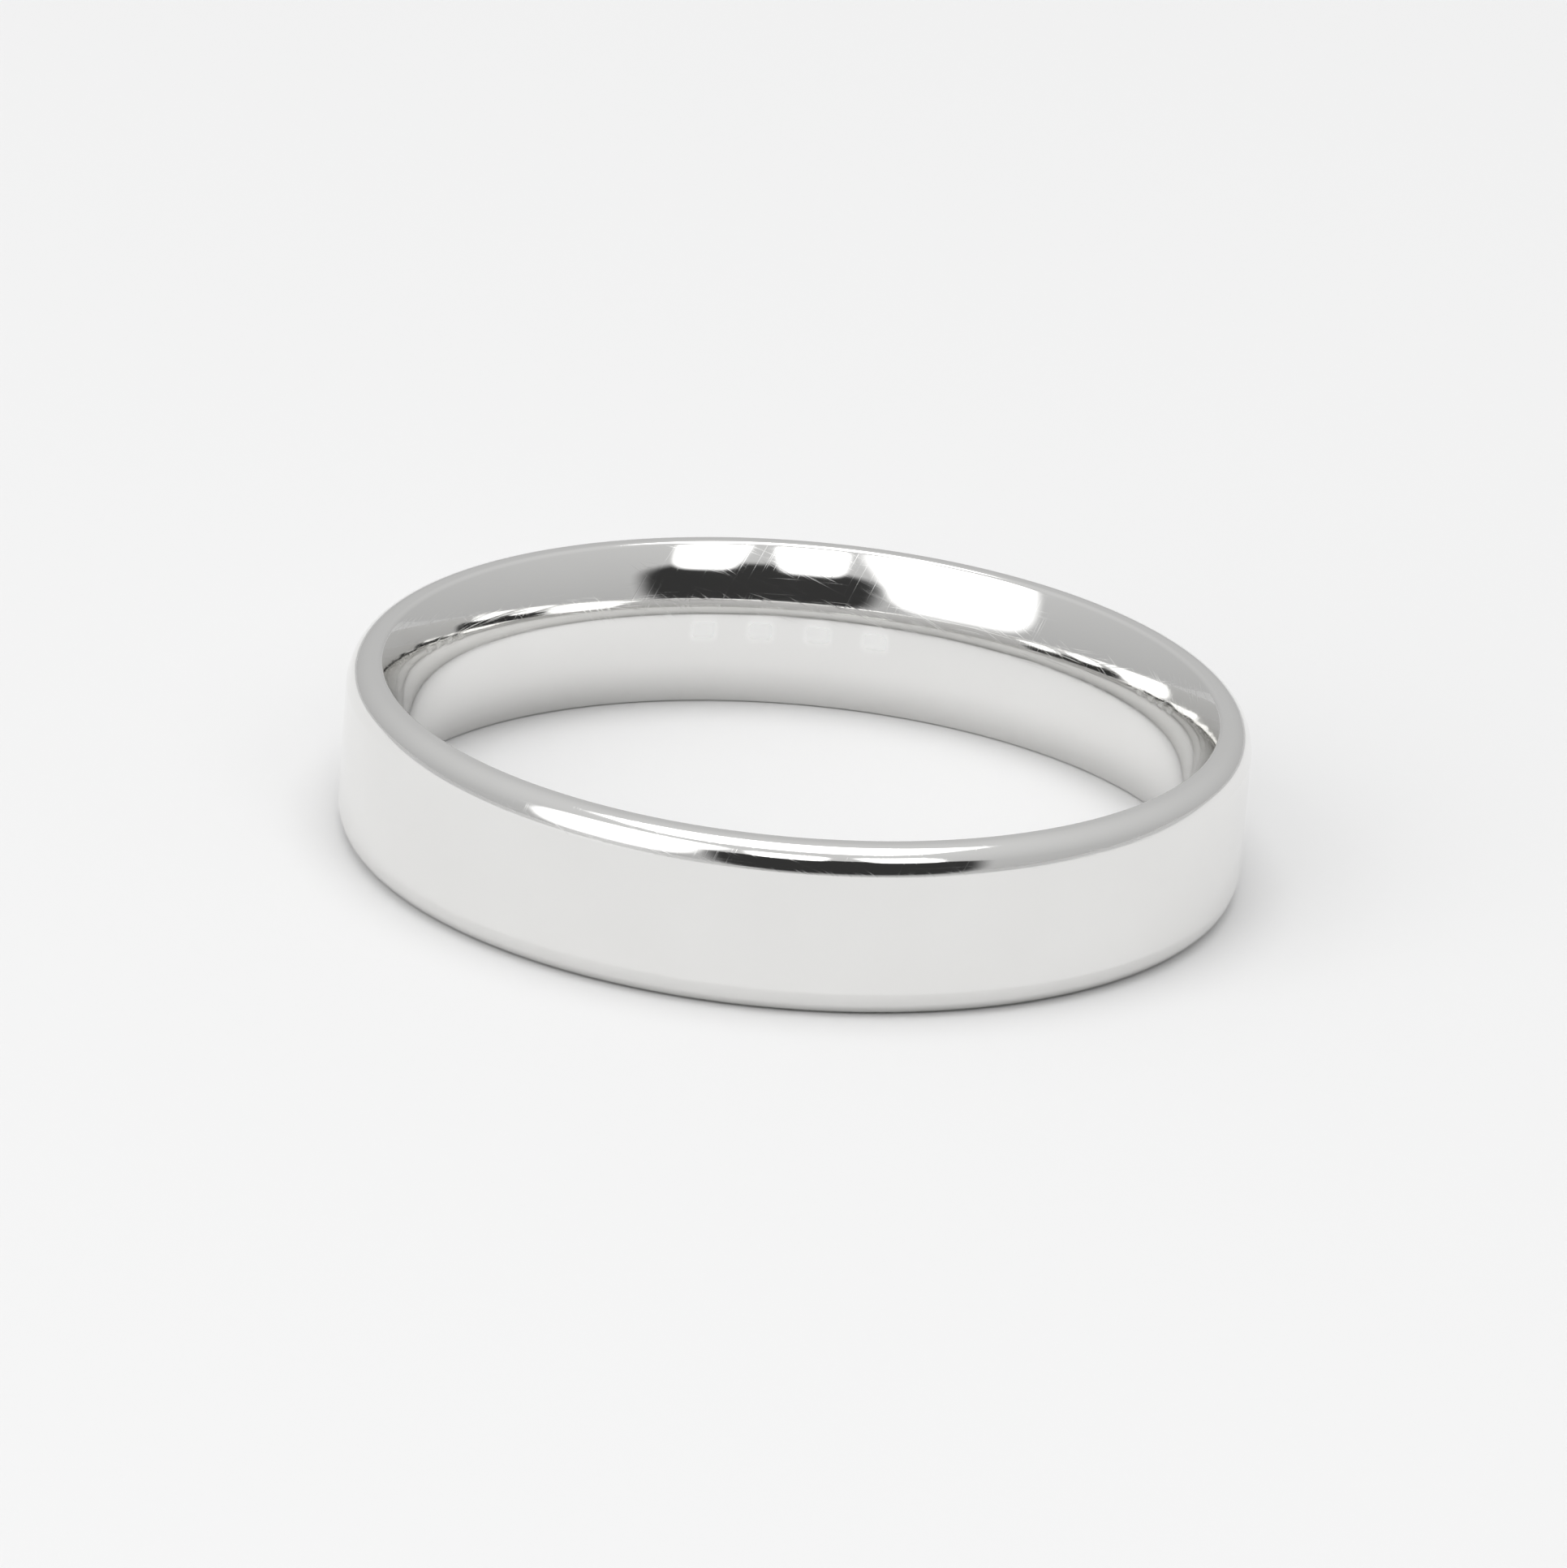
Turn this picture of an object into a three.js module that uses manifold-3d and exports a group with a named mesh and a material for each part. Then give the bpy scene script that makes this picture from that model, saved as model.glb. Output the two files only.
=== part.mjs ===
// A flat court wedding band: one seamless ring, flat outside, domed inside, with rounded edges.
// The ring lies on one side face, its axis along +Z, and the origin is under its centre on that face.
// The two side faces carry a narrow flat land, and a row of small blank punch marks sits inside.
// Millimetres throughout.

import * as THREE from 'three';
import { mergeVertices } from 'three/addons/utils/BufferGeometryUtils.js';
import Module from 'manifold-3d';

// Driving dimensions
const FINGER_DIAMETER = 18.0; // clear bore at the middle of the width, between UK sizes P and Q
const WALL = 1.35; // thickness at the middle of the width
const WIDTH = 4.0; // side face to side face, along the finger
const COURT_RADIUS = 3.6; // section radius of the domed inside
const INNER_EDGE_RADIUS = 0.15; // where the dome turns over onto the side face
const SHOULDER_RADIUS = 0.5; // rounded outer edge
const LEAD_RADIUS = 1.5; // gentler curve between the outside wall and that edge
const LEAD_START = (10 * Math.PI) / 180; // its slope where it leaves the wall, at a faint crease
const LEAD_END = (21 * Math.PI) / 180; // its slope where the rounded edge takes over

// The row of blank punch marks inside the back of the ring
const MARK_COUNT = 4;
const MARK_PITCH = 1.35; // along the inside wall
const MARK_OFFSET = -0.4; // middle of the row, along the inside wall from the back of the ring
const MARK_WIDTH = 0.6;
const MARK_HEIGHT = 0.45;
const MARK_CORNER = 0.12;
const MARK_DEPTH = 0.02; // even all over, because the floor of a mark follows the wall
const PUNCH_LENGTH = 1.0; // of each punch, half of it in the metal before it is trimmed to depth

// Fineness of the facets
const ROUND_STEPS = 96;
const COURT_STEPS = 5;
const INNER_EDGE_STEPS = 4;
const SHOULDER_STEPS = 5;
const LEAD_STEPS = 1;

// Worked out from the driving dimensions
const INNER_RADIUS = FINGER_DIAMETER / 2;
const OUTER_RADIUS = INNER_RADIUS + WALL;
const HALF_WIDTH = WIDTH / 2;
const COURT_TILT = Math.asin((HALF_WIDTH - INNER_EDGE_RADIUS) / (COURT_RADIUS - INNER_EDGE_RADIUS));
const LAND_INNER_RADIUS =
  INNER_RADIUS + COURT_RADIUS - (COURT_RADIUS - INNER_EDGE_RADIUS) * Math.cos(COURT_TILT);
const LEAD_CENTRE_RADIUS = OUTER_RADIUS - LEAD_RADIUS * Math.cos(LEAD_START);
const LEAD_CENTRE_HEIGHT =
  HALF_WIDTH - SHOULDER_RADIUS - (LEAD_RADIUS - SHOULDER_RADIUS) * Math.sin(LEAD_END);
const LAND_OUTER_RADIUS = LEAD_CENTRE_RADIUS + (LEAD_RADIUS - SHOULDER_RADIUS) * Math.cos(LEAD_END);

// Points at (radius, height above mid-width) along a circular arc, from one angle to another.
function arc(centreRadius, centreHeight, radius, from, to, steps) {
  const points = [];
  for (let i = 0; i <= steps; i += 1) {
    const angle = from + ((to - from) * i) / steps;
    points.push(
      new THREE.Vector2(centreRadius + radius * Math.cos(angle), centreHeight + radius * Math.sin(angle)),
    );
  }
  return points;
}

// One half of the section, from the outside wall over the side face to the middle of the inside.
function upperHalf() {
  const lead = arc(
    LEAD_CENTRE_RADIUS, LEAD_CENTRE_HEIGHT, LEAD_RADIUS,
    LEAD_START, LEAD_END, LEAD_STEPS,
  );
  const shoulder = arc(
    LAND_OUTER_RADIUS, HALF_WIDTH - SHOULDER_RADIUS, SHOULDER_RADIUS,
    LEAD_END, Math.PI / 2, SHOULDER_STEPS,
  );
  const innerEdge = arc(
    LAND_INNER_RADIUS, HALF_WIDTH - INNER_EDGE_RADIUS, INNER_EDGE_RADIUS,
    Math.PI / 2, Math.PI - COURT_TILT, INNER_EDGE_STEPS,
  );
  const court = arc(
    INNER_RADIUS + COURT_RADIUS, 0, COURT_RADIUS,
    Math.PI - COURT_TILT, Math.PI, COURT_STEPS,
  );
  return [...lead, ...shoulder.slice(1), ...innerEdge, ...court.slice(1)];
}

// The whole section, closed on itself, standing on its lower side face.
function section() {
  const upper = upperHalf();
  const lower = upper
    .slice(0, -1)
    .reverse()
    .map((point) => new THREE.Vector2(point.x, -point.y));
  const loop = [...upper, ...lower, upper[0].clone()];
  return loop.map((point) => new THREE.Vector2(point.x, point.y + HALF_WIDTH));
}

// The ring, turned about +Z.
function ringGeometry() {
  const geometry = new THREE.LatheGeometry(section(), ROUND_STEPS);
  geometry.rotateX(Math.PI / 2);
  return geometry;
}

// A plain rounded rectangle, in the plane of the inside wall.
function markOutline() {
  const x = MARK_WIDTH / 2;
  const y = MARK_HEIGHT / 2;
  const shape = new THREE.Shape();
  shape.moveTo(-x + MARK_CORNER, -y);
  shape.lineTo(x - MARK_CORNER, -y);
  shape.absarc(x - MARK_CORNER, -y + MARK_CORNER, MARK_CORNER, -Math.PI / 2, 0);
  shape.absarc(x - MARK_CORNER, y - MARK_CORNER, MARK_CORNER, 0, Math.PI / 2);
  shape.absarc(-x + MARK_CORNER, y - MARK_CORNER, MARK_CORNER, Math.PI / 2, Math.PI);
  shape.absarc(-x + MARK_CORNER, -y + MARK_CORNER, MARK_CORNER, Math.PI, 1.5 * Math.PI);
  return shape;
}

// The layer that a punch may reach: from clear space to MARK_DEPTH behind the domed inside.
function punchReachGeometry() {
  const floor = arc(
    INNER_RADIUS + COURT_RADIUS + MARK_DEPTH, HALF_WIDTH, COURT_RADIUS,
    Math.PI + COURT_TILT, Math.PI - COURT_TILT, 2 * COURT_STEPS,
  );
  const clearRadius = INNER_RADIUS - PUNCH_LENGTH;
  const bottom = new THREE.Vector2(clearRadius, floor[0].y);
  const top = new THREE.Vector2(clearRadius, floor[floor.length - 1].y);
  const geometry = new THREE.LatheGeometry([bottom, ...floor, top, bottom.clone()], ROUND_STEPS);
  geometry.rotateX(Math.PI / 2);
  return geometry;
}

// The punch for one mark, standing through the back wall.
function punchGeometry(index) {
  const geometry = new THREE.ExtrudeGeometry(markOutline(), {
    depth: PUNCH_LENGTH,
    bevelEnabled: false,
    curveSegments: 3,
  });
  // Stand the outline up, so that it faces the ring's axis from the back (+Y) wall.
  geometry.rotateX(Math.PI / 2);
  geometry.translate(0, INNER_RADIUS + PUNCH_LENGTH / 2, HALF_WIDTH);
  const along = MARK_OFFSET + (index - (MARK_COUNT - 1) / 2) * MARK_PITCH;
  geometry.rotateZ(-along / INNER_RADIUS);
  return geometry;
}

const wasm = await Module();
wasm.setup();

function toSolid(geometry) {
  const bare = geometry.clone();
  bare.deleteAttribute('normal');
  bare.deleteAttribute('uv');
  const merged = mergeVertices(bare);
  return new wasm.Manifold(
    new wasm.Mesh({
      numProp: 3,
      vertProperties: new Float32Array(merged.attributes.position.array),
      triVerts: new Uint32Array(merged.index.array),
    }),
  );
}

function toGeometry(solid) {
  const mesh = solid.getMesh();
  const geometry = new THREE.BufferGeometry();
  geometry.setAttribute('position', new THREE.BufferAttribute(mesh.vertProperties, 3));
  geometry.setIndex(new THREE.BufferAttribute(mesh.triVerts, 1));
  geometry.computeVertexNormals();
  return geometry;
}

function bandGeometry() {
  const reach = toSolid(punchReachGeometry());
  let solid = toSolid(ringGeometry());
  for (let index = 0; index < MARK_COUNT; index += 1) {
    const mark = toSolid(punchGeometry(index)).intersect(reach);
    solid = solid.subtract(mark);
  }
  return toGeometry(solid);
}

const whiteMetal = new THREE.MeshStandardMaterial({
  color: new THREE.Color(0.86, 0.86, 0.85),
  roughness: 0.06,
  metalness: 1.0,
});

const band = new THREE.Mesh(bandGeometry(), whiteMetal);
band.name = 'band';

const group = new THREE.Group();
group.add(band);

export default group;
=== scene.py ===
"""A flat court wedding band in polished white metal, on a plain pale table under soft studio light.

The ring is one seamless piece, turned about +Z. Its section has a flat outside wall, rounded outer
edges, a narrow flat land on each side face, and a domed inside. Four small blank punch marks sit
inside the back of the ring. Everything is in metres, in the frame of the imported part.
"""

import math

import bpy
import numpy as np
from mathutils import Matrix, Vector


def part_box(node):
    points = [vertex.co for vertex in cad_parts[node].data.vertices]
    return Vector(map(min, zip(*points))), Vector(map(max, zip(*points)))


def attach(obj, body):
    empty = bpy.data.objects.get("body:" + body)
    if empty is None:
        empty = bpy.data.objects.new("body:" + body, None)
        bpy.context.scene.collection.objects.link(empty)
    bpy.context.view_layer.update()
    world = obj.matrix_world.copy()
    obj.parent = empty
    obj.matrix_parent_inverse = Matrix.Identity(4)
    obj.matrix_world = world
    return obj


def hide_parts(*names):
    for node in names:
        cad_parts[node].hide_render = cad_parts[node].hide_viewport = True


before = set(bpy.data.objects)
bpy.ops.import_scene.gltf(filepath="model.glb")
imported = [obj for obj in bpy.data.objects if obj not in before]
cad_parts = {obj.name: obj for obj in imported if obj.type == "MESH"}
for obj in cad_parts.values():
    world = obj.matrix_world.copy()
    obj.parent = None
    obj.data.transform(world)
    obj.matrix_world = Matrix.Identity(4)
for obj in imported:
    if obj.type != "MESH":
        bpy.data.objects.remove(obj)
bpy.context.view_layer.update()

MM = 0.001

# The ring. Its outside diameter and width come from the frame.
low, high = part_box("band")
OUTER_RADIUS = (high.x - low.x) / 2
WIDTH = high.z - low.z
HALF_WIDTH = WIDTH / 2
WALL = 1.35 * MM
COURT_RADIUS = 3.6 * MM
INNER_EDGE_RADIUS = 0.15 * MM
SHOULDER_RADIUS = 0.5 * MM
LEAD_RADIUS = 1.5 * MM
LEAD_START = math.radians(10)
LEAD_END = math.radians(21)

INNER_RADIUS = OUTER_RADIUS - WALL
COURT_TILT = math.asin((HALF_WIDTH - INNER_EDGE_RADIUS) / (COURT_RADIUS - INNER_EDGE_RADIUS))
LAND_INNER_RADIUS = (
    INNER_RADIUS + COURT_RADIUS - (COURT_RADIUS - INNER_EDGE_RADIUS) * math.cos(COURT_TILT)
)
LEAD_CENTRE_RADIUS = OUTER_RADIUS - LEAD_RADIUS * math.cos(LEAD_START)
LEAD_CENTRE_HEIGHT = (
    HALF_WIDTH - SHOULDER_RADIUS - (LEAD_RADIUS - SHOULDER_RADIUS) * math.sin(LEAD_END)
)
LAND_OUTER_RADIUS = LEAD_CENTRE_RADIUS + (LEAD_RADIUS - SHOULDER_RADIUS) * math.cos(LEAD_END)
CREASE_HEIGHT = LEAD_CENTRE_HEIGHT + LEAD_RADIUS * math.sin(LEAD_START)

# The blank punch marks, placed along the inside wall from the back of the ring, positive to +X.
MARK_COUNT = 4
MARK_PITCH = 1.35 * MM
MARK_OFFSET = -0.4 * MM
MARK_WIDTH = 0.6 * MM
MARK_HEIGHT = 0.45 * MM
MARK_CORNER = 0.12 * MM
MARK_DEPTH = 0.02 * MM
MARK_EDGE = 0.2 * MM

# Fineness of the mesh
LAND_STEPS = 2
WALL_STEPS = 4
LEAD_STEPS = 10
SHOULDER_STEPS = 36
INNER_EDGE_STEPS = 22
COURT_STEPS = 64
FINE_COLUMN = 0.06 * MM
FINE_REACH = 3.2 * MM
COARSE_COLUMNS = 340

# The metal's finish. The marks' floors are left matt by the punch, and their colour is painted lighter as
# a painted sheen.
FROST_AND_SHEEN = "frost_and_sheen"
FROST_ROUGHNESS = 0.3
POLISHED_ROUGHNESS = 0.025
HAZY_ROUGHNESS = 0.06
HAZE_START = 0.3
HAZE_END = 0.7
TONE_SIZE = 2.5 * MM
UNEVEN_SIZE = 1.6 * MM
UNEVEN_HEIGHT = 0.002 * MM
SCRATCH_LENGTH = 1.5 * MM
SCRATCH_WIDTH = 0.02 * MM
SCRATCH_HEIGHT = 0.0002 * MM
SCRATCH_ROUGHNESS = 0.09
SCRATCH_TURNS = [(0.0, 0.0), (0.35, 0.9), (0.8, 2.6), (1.25, 4.4)]
SCRATCH_FAINT = 0.72
SCRATCH_FULL = 0.82
DARKER_TONE = (0.805, 0.800, 0.788, 1)
LIGHTER_TONE = (0.845, 0.843, 0.832, 1)
# The marks' floor colour, lighter than the metal: a painted sheen.
PAINTED_FROST_SHEEN_TONE = (0.93, 0.93, 0.92, 1)

# The studio's surround, from the horizon up to overhead, and the table with its upturned edge
HORIZON_LIGHT = 0.50
OVERHEAD_LIGHT = 0.74
TABLE_TONE = (0.80, 0.80, 0.80, 1)
TABLE_RADIUS = 1.0
TABLE_RIM = 0.08
TABLE_COLUMNS = 96
RIM_STEPS = 12

# The face of every soft box
BOX_SOFTNESS = 0.25
BOX_SQUARENESS = 4.0

# The camera: a long lens, looking down on the ring and rolled so that its right side sits lower.
CAMERA_DISTANCE = 0.334
CAMERA_ELEVATION = math.radians(20.5)
CAMERA_ROLL = math.radians(5)
LENS = 336.0
SENSOR = 36.0
AIM_LEFT = 0.25 * MM
AIM_DOWN = 0.35 * MM


def arc(centre_radius, centre_height, radius, start, end, steps):
    """Points (radius, height above mid-width) along a circular arc."""
    points = []
    for i in range(steps + 1):
        angle = start + (end - start) * i / steps
        points.append((centre_radius + radius * math.cos(angle), centre_height + radius * math.sin(angle)))
    return points


def upper_half():
    """The section from mid-width outside, over the upper side face, to mid-width inside."""
    quarter = math.pi / 2
    wall = [(OUTER_RADIUS, CREASE_HEIGHT * i / WALL_STEPS) for i in range(WALL_STEPS)]
    lead = arc(
        LEAD_CENTRE_RADIUS, LEAD_CENTRE_HEIGHT, LEAD_RADIUS,
        LEAD_START, LEAD_END, LEAD_STEPS,
    )
    shoulder = arc(
        LAND_OUTER_RADIUS, HALF_WIDTH - SHOULDER_RADIUS, SHOULDER_RADIUS,
        LEAD_END, quarter, SHOULDER_STEPS,
    )
    land_step = (LAND_INNER_RADIUS - LAND_OUTER_RADIUS) / LAND_STEPS
    land = [(LAND_OUTER_RADIUS + land_step * i, HALF_WIDTH) for i in range(1, LAND_STEPS)]
    inner_edge = arc(
        LAND_INNER_RADIUS, HALF_WIDTH - INNER_EDGE_RADIUS, INNER_EDGE_RADIUS,
        quarter, math.pi - COURT_TILT, INNER_EDGE_STEPS,
    )
    court = arc(
        INNER_RADIUS + COURT_RADIUS, 0, COURT_RADIUS,
        math.pi - COURT_TILT, math.pi, COURT_STEPS // 2,
    )
    return [*wall, *lead, *shoulder[1:], *land, *inner_edge, *court[1:]]


def section():
    """The closed section, standing on the lower side face."""
    upper = upper_half()
    lower = [(radius, -height) for radius, height in reversed(upper[1:-1])]
    return np.array([(radius, height + HALF_WIDTH) for radius, height in [*upper, *lower]])


def column_angles():
    """Angles round the ring from +Y towards +X, close together along the row of marks."""
    start = (MARK_OFFSET - FINE_REACH) / INNER_RADIUS
    end = (MARK_OFFSET + FINE_REACH) / INNER_RADIUS
    fine_count = round(2 * FINE_REACH / FINE_COLUMN)
    fine = np.linspace(start, end, fine_count, endpoint=False)
    coarse = np.linspace(end, start + 2 * math.pi, COARSE_COLUMNS, endpoint=False)
    return np.concatenate([fine, coarse])


def mark_share(along, height):
    """0 on the plain wall and 1 in the marks, which are soft-edged rounded rectangles."""
    total = np.zeros(np.broadcast(along, height).shape)
    for index in range(MARK_COUNT):
        centre = MARK_OFFSET + (index - (MARK_COUNT - 1) / 2) * MARK_PITCH
        across = np.abs(along - centre) - (MARK_WIDTH / 2 - MARK_CORNER)
        up = np.abs(height - HALF_WIDTH) - (MARK_HEIGHT / 2 - MARK_CORNER)
        outside = np.hypot(np.maximum(across, 0), np.maximum(up, 0))
        distance = outside + np.minimum(np.maximum(across, up), 0) - MARK_CORNER
        share = np.clip(0.5 - distance / MARK_EDGE, 0, 1)
        total += share * share * (3 - 2 * share)
    return total


def band_mesh():
    """The fine ring as a grid of quads, closed both ways."""
    outline = section()
    angles = column_angles()
    radius, height = outline[:, 0], outline[:, 1]
    turned = np.where(angles > math.pi, angles - 2 * math.pi, angles)
    along = turned[:, None] * INNER_RADIUS
    on_court = (radius < LAND_INNER_RADIUS - INNER_EDGE_RADIUS)[None, :]
    marked = np.where(on_court, mark_share(along, height[None, :]), 0)
    reach = radius[None, :] + MARK_DEPTH * marked
    x = reach * np.sin(angles)[:, None]
    y = reach * np.cos(angles)[:, None]
    z = np.broadcast_to(height[None, :], x.shape)
    points = np.stack([x, y, z], axis=2).reshape(-1, 3)
    rows = len(outline)
    columns = len(angles)
    faces = []
    for i in range(columns):
        here = i * rows
        there = (i + 1) % columns * rows
        for j in range(rows):
            following = (j + 1) % rows
            faces.append((here + j, here + following, there + following, there + j))
    mesh = bpy.data.meshes.new("polished_band")
    mesh.from_pydata(points.tolist(), [], faces)
    mesh.shade_smooth()
    ends = np.empty(2 * len(mesh.edges), dtype=int)
    mesh.edges.foreach_get("vertices", ends)
    creases = (WALL_STEPS, rows - WALL_STEPS)
    on_crease = np.isin(ends.reshape(-1, 2) % rows, creases).all(axis=1)
    mesh.edges.foreach_set("use_edge_sharp", on_crease)
    # The marks' share drives both their matt roughness and their painted sheen, which is a lighter colour.
    frost_and_sheen = mesh.attributes.new(FROST_AND_SHEEN, "FLOAT", "POINT")
    frost_and_sheen.data.foreach_set("value", marked.ravel())
    return mesh


def add_object(name, mesh, material):
    """Links a mesh to the scene with its material."""
    mesh.materials.append(material)
    piece = bpy.data.objects.new(name, mesh)
    bpy.context.scene.collection.objects.link(piece)
    return piece


def new_material(name):
    """An empty node material, and its nodes, links and output."""
    material = bpy.data.materials.new(name)
    material.use_nodes = True
    nodes = material.node_tree.nodes
    nodes.clear()
    output = nodes.new("ShaderNodeOutputMaterial")
    return material, nodes, material.node_tree.links, output


def scratches(nodes, links, coordinates, tilt, heading):
    """Sparse hairlines, 0 on clear metal and 1 on a line.

    The noise is stretched into thin sheets, which meet every face of the ring in long fine lines.
    """
    place = nodes.new("ShaderNodeMapping")
    place.vector_type = "TEXTURE"
    place.inputs["Rotation"].default_value = (tilt, 0, heading)
    place.inputs["Scale"].default_value = (SCRATCH_LENGTH, SCRATCH_LENGTH, SCRATCH_WIDTH)
    links.new(coordinates, place.inputs["Vector"])
    noise = nodes.new("ShaderNodeTexNoise")
    noise.inputs["Scale"].default_value = 1.0
    noise.inputs["Detail"].default_value = 0.0
    links.new(place.outputs["Vector"], noise.inputs["Vector"])
    line = nodes.new("ShaderNodeMapRange")
    line.inputs["From Min"].default_value = SCRATCH_FAINT
    line.inputs["From Max"].default_value = SCRATCH_FULL
    links.new(noise.outputs["Fac"], line.inputs["Value"])
    return line.outputs["Result"]


def noise_texture(nodes, links, coordinates, size, detail):
    """Smooth noise with features of about the given size."""
    noise = nodes.new("ShaderNodeTexNoise")
    noise.inputs["Scale"].default_value = 1 / size
    noise.inputs["Detail"].default_value = detail
    links.new(coordinates, noise.inputs["Vector"])
    return noise.outputs["Fac"]


def bump(nodes, links, height, distance, under=None):
    """A bump of that height, on top of another bump's normal."""
    node = nodes.new("ShaderNodeBump")
    node.inputs["Distance"].default_value = distance
    links.new(height, node.inputs["Height"])
    if under is not None:
        links.new(under, node.inputs["Normal"])
    return node.outputs["Normal"]


def white_metal():
    """Bright polished white metal: nearly a mirror, slightly uneven, with sparse fine wear lines, and matt
    punch-mark floors with a painted sheen.
    """
    material, nodes, links, output = new_material("white_metal")
    shader = nodes.new("ShaderNodeBsdfPrincipled")
    shader.inputs["Metallic"].default_value = 1.0
    links.new(shader.outputs["BSDF"], output.inputs["Surface"])
    coordinates = nodes.new("ShaderNodeTexCoord").outputs["Object"]

    cloudy = noise_texture(nodes, links, coordinates, TONE_SIZE, 3.0)
    colour = nodes.new("ShaderNodeMix")
    colour.data_type = "RGBA"
    colour.inputs["A"].default_value = DARKER_TONE
    colour.inputs["B"].default_value = LIGHTER_TONE
    links.new(cloudy, colour.inputs["Factor"])
    # In the marks the colour is painted lighter, a painted sheen on the matt punched floors.
    frost_and_sheen = nodes.new("ShaderNodeAttribute")
    frost_and_sheen.attribute_name = FROST_AND_SHEEN
    painted_frost_sheen = nodes.new("ShaderNodeMix")
    painted_frost_sheen.data_type = "RGBA"
    painted_frost_sheen.inputs["B"].default_value = PAINTED_FROST_SHEEN_TONE
    links.new(frost_and_sheen.outputs["Fac"], painted_frost_sheen.inputs["Factor"])
    links.new(colour.outputs["Result"], painted_frost_sheen.inputs["A"])
    links.new(painted_frost_sheen.outputs["Result"], shader.inputs["Base Color"])

    worn = 0.0
    for tilt, heading in SCRATCH_TURNS:
        lines = scratches(nodes, links, coordinates, tilt, heading)
        worn = maths(nodes, links, "MAXIMUM", lines, worn)

    haze = nodes.new("ShaderNodeMapRange")
    haze.inputs["From Min"].default_value = HAZE_START
    haze.inputs["From Max"].default_value = HAZE_END
    haze.inputs["To Min"].default_value = POLISHED_ROUGHNESS
    haze.inputs["To Max"].default_value = HAZY_ROUGHNESS
    links.new(cloudy, haze.inputs["Value"])
    rough = maths(nodes, links, "MULTIPLY_ADD", worn, SCRATCH_ROUGHNESS, haze.outputs["Result"])
    rough = maths(nodes, links, "MULTIPLY_ADD", frost_and_sheen.outputs["Fac"], FROST_ROUGHNESS, rough)
    links.new(rough, shader.inputs["Roughness"])

    uneven = noise_texture(nodes, links, coordinates, UNEVEN_SIZE, 1.0)
    polished = bump(nodes, links, uneven, UNEVEN_HEIGHT)
    links.new(bump(nodes, links, worn, SCRATCH_HEIGHT, polished), shader.inputs["Normal"])
    return material


def maths(nodes, links, operation, *values):
    """A Math node on numbers or sockets."""
    node = nodes.new("ShaderNodeMath")
    node.operation = operation
    for socket, value in zip(node.inputs, values):
        if isinstance(value, (int, float)):
            socket.default_value = value
        else:
            links.new(value, socket)
    return node.outputs["Value"]


def glow(name, radiance):
    """The face of a soft box: even light with rounded corners, fading out at its border."""
    material, nodes, links, output = new_material(name)
    place = nodes.new("ShaderNodeUVMap")
    parts = nodes.new("ShaderNodeSeparateXYZ")
    links.new(place.outputs["UV"], parts.inputs["Vector"])
    powers = []
    for axis in ("X", "Y"):
        centred = maths(nodes, links, "MULTIPLY_ADD", parts.outputs[axis], 2.0, -1.0)
        across = maths(nodes, links, "ABSOLUTE", centred)
        powers.append(maths(nodes, links, "POWER", across, BOX_SQUARENESS))
    total = maths(nodes, links, "ADD", *powers)
    outward = maths(nodes, links, "POWER", total, 1 / BOX_SQUARENESS)

    fade = nodes.new("ShaderNodeMapRange")
    fade.interpolation_type = "SMOOTHSTEP"
    fade.inputs["From Min"].default_value = 1 - BOX_SOFTNESS
    fade.inputs["From Max"].default_value = 1
    fade.inputs["To Min"].default_value = 1
    fade.inputs["To Max"].default_value = 0
    links.new(outward, fade.inputs["Value"])

    emission = nodes.new("ShaderNodeEmission")
    emission.inputs["Strength"].default_value = radiance
    clear = nodes.new("ShaderNodeBsdfTransparent")
    mix = nodes.new("ShaderNodeMixShader")
    links.new(fade.outputs["Result"], mix.inputs["Fac"])
    links.new(clear.outputs["BSDF"], mix.inputs[1])
    links.new(emission.outputs["Emission"], mix.inputs[2])
    links.new(mix.outputs["Shader"], output.inputs["Surface"])
    return material


def soft_box(name, azimuth, elevation, distance, size, radiance):
    """A flat soft box facing the ring, or with hardly any radiance a dark flag.

    azimuth is in degrees from -Y towards +X, and elevation in degrees above the table.
    """
    width, height = size
    a, e = math.radians(azimuth), math.radians(elevation)
    outward = Vector((math.sin(a) * math.cos(e), -math.cos(a) * math.cos(e), math.sin(e)))
    along = Vector((math.cos(a), math.sin(a), 0))
    up = Vector((-math.sin(a) * math.sin(e), math.cos(a) * math.sin(e), math.cos(e)))
    places = [(0, 0), (1, 0), (1, 1), (0, 1)]
    corners = [
        outward * distance + along * (u - 0.5) * width + up * (v - 0.5) * height for u, v in places
    ]
    mesh = bpy.data.meshes.new(name)
    mesh.from_pydata(corners, [], [(0, 1, 2, 3)])
    mesh.uv_layers.new(name="UVMap").data.foreach_set("uv", np.array(places, dtype=float).ravel())
    add_object(name, mesh, glow(name, radiance))


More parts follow.
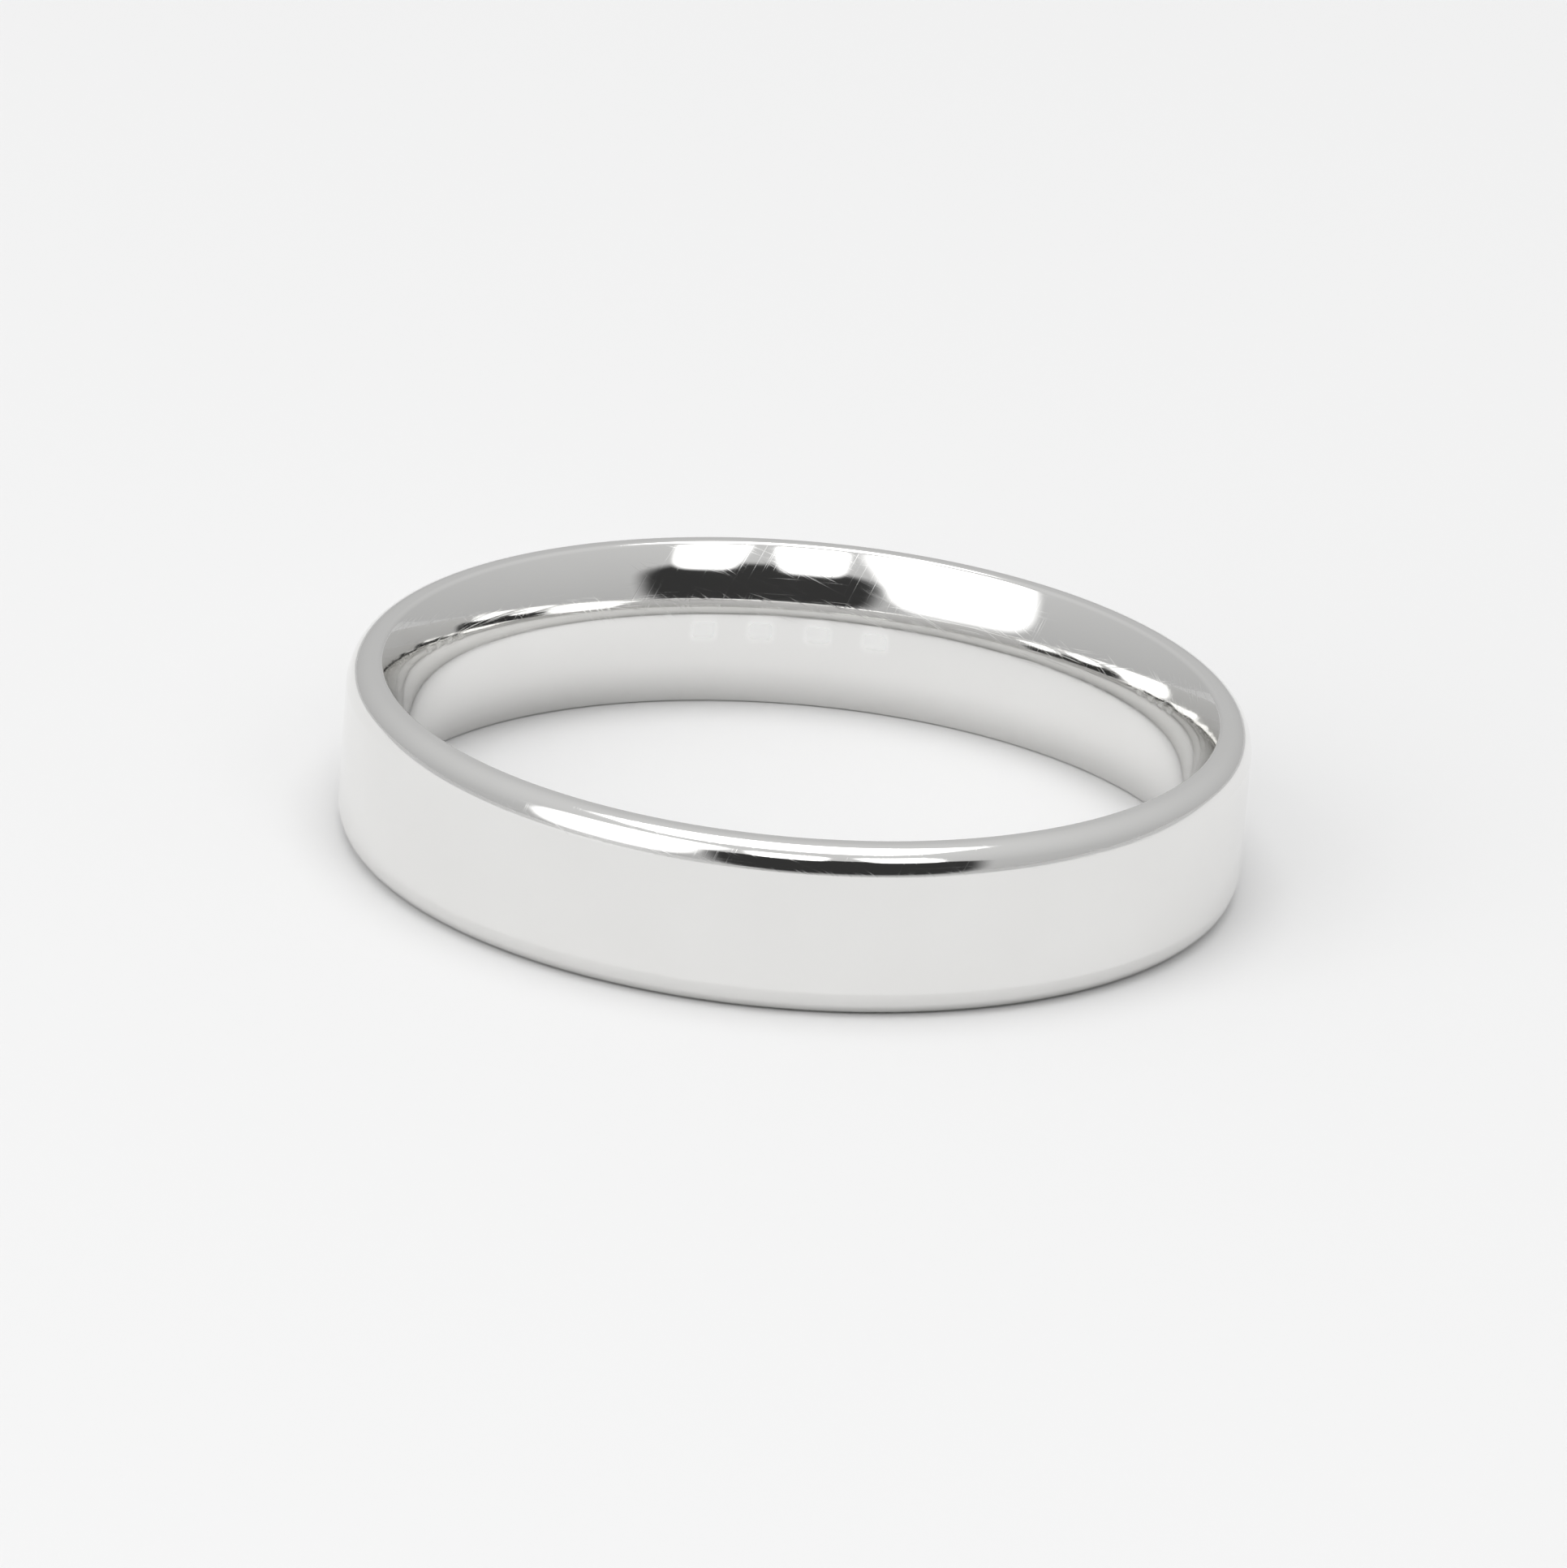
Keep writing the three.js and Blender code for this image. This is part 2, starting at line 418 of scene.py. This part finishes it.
def floor():
    """The plain pale table, round and turned up at its far edge, so that low views end on it."""
    edge = arc(TABLE_RADIUS, TABLE_RIM, TABLE_RIM, -math.pi / 2, 0, RIM_STEPS)
    points = []
    faces = [[column * len(edge) for column in range(TABLE_COLUMNS)]]
    for column in range(TABLE_COLUMNS):
        turn = 2 * math.pi * column / TABLE_COLUMNS
        points.extend((r * math.cos(turn), r * math.sin(turn), height) for r, height in edge)
        here = column * len(edge)
        there = (column + 1) % TABLE_COLUMNS * len(edge)
        faces.extend((here + j, here + j + 1, there + j + 1, there + j) for j in range(RIM_STEPS))
    mesh = bpy.data.meshes.new("table")
    mesh.from_pydata(points, [], faces)
    mesh.shade_smooth()
    material, nodes, links, output = new_material("table")
    shader = nodes.new("ShaderNodeBsdfPrincipled")
    shader.inputs["Base Color"].default_value = TABLE_TONE
    shader.inputs["Roughness"].default_value = 1.0
    shader.inputs["Specular IOR Level"].default_value = 0.0
    links.new(shader.outputs["BSDF"], output.inputs["Surface"])
    add_object("table", mesh, material)


def studio():
    """The light: four plain soft boxes and a dark flag in a pale studio, lighter overhead."""
    world = bpy.data.worlds.new("studio")
    world.use_nodes = True
    nodes, links = world.node_tree.nodes, world.node_tree.links
    nodes["Background"].inputs["Color"].default_value = (1, 1, 1, 1)
    parts = nodes.new("ShaderNodeSeparateXYZ")
    links.new(nodes.new("ShaderNodeTexCoord").outputs["Generated"], parts.inputs["Vector"])
    level = nodes.new("ShaderNodeMapRange")
    level.inputs["To Min"].default_value = HORIZON_LIGHT
    level.inputs["To Max"].default_value = OVERHEAD_LIGHT
    links.new(parts.outputs["Z"], level.inputs["Value"])
    links.new(level.outputs["Result"], nodes["Background"].inputs["Strength"])
    bpy.context.scene.world = world

    for name, azimuth in (("key_box_left", 0), ("key_box_right", 32)):
        soft_box(name, azimuth, elevation=38, distance=0.45, size=(0.16, 0.22), radiance=2.0)
    soft_box("side_box", -45, elevation=30, distance=0.60, size=(0.55, 0.60), radiance=2.0)
    soft_box("overhead_box", 0, elevation=90, distance=0.90, size=(0.80, 0.80), radiance=2.8)
    soft_box("dark_flag", 15, elevation=17, distance=0.50, size=(0.75, 0.30), radiance=0.04)


def camera():
    """The camera at the photographed angle."""
    target = Vector((0, 0, HALF_WIDTH))
    sight = Vector((0, math.cos(CAMERA_ELEVATION), -math.sin(CAMERA_ELEVATION)))
    location = target - sight * CAMERA_DISTANCE
    flat_right = Vector((1, 0, 0))
    flat_up = flat_right.cross(sight)
    right = flat_right * math.cos(CAMERA_ROLL) + flat_up * math.sin(CAMERA_ROLL)
    up = flat_up * math.cos(CAMERA_ROLL) - flat_right * math.sin(CAMERA_ROLL)
    sight = (target - right * AIM_LEFT - up * AIM_DOWN - location).normalized()
    right = (right - sight * right.dot(sight)).normalized()
    up = right.cross(sight)

    data = bpy.data.cameras.new("camera")
    data.lens = LENS
    data.sensor_width = SENSOR
    data.clip_start = 0.01
    data.clip_end = 10
    piece = bpy.data.objects.new("camera", data)
    piece.matrix_world = Matrix.Translation(location) @ Matrix((right, up, -sight)).transposed().to_4x4()
    bpy.context.scene.collection.objects.link(piece)
    bpy.context.scene.camera = piece


camera()
floor()
studio()

band = add_object("polished_band", band_mesh(), white_metal())
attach(band, "root")
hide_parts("band")

scene = bpy.context.scene
scene.view_settings.view_transform = "Standard"
scene.cycles.max_bounces = 24
scene.cycles.glossy_bounces = 24
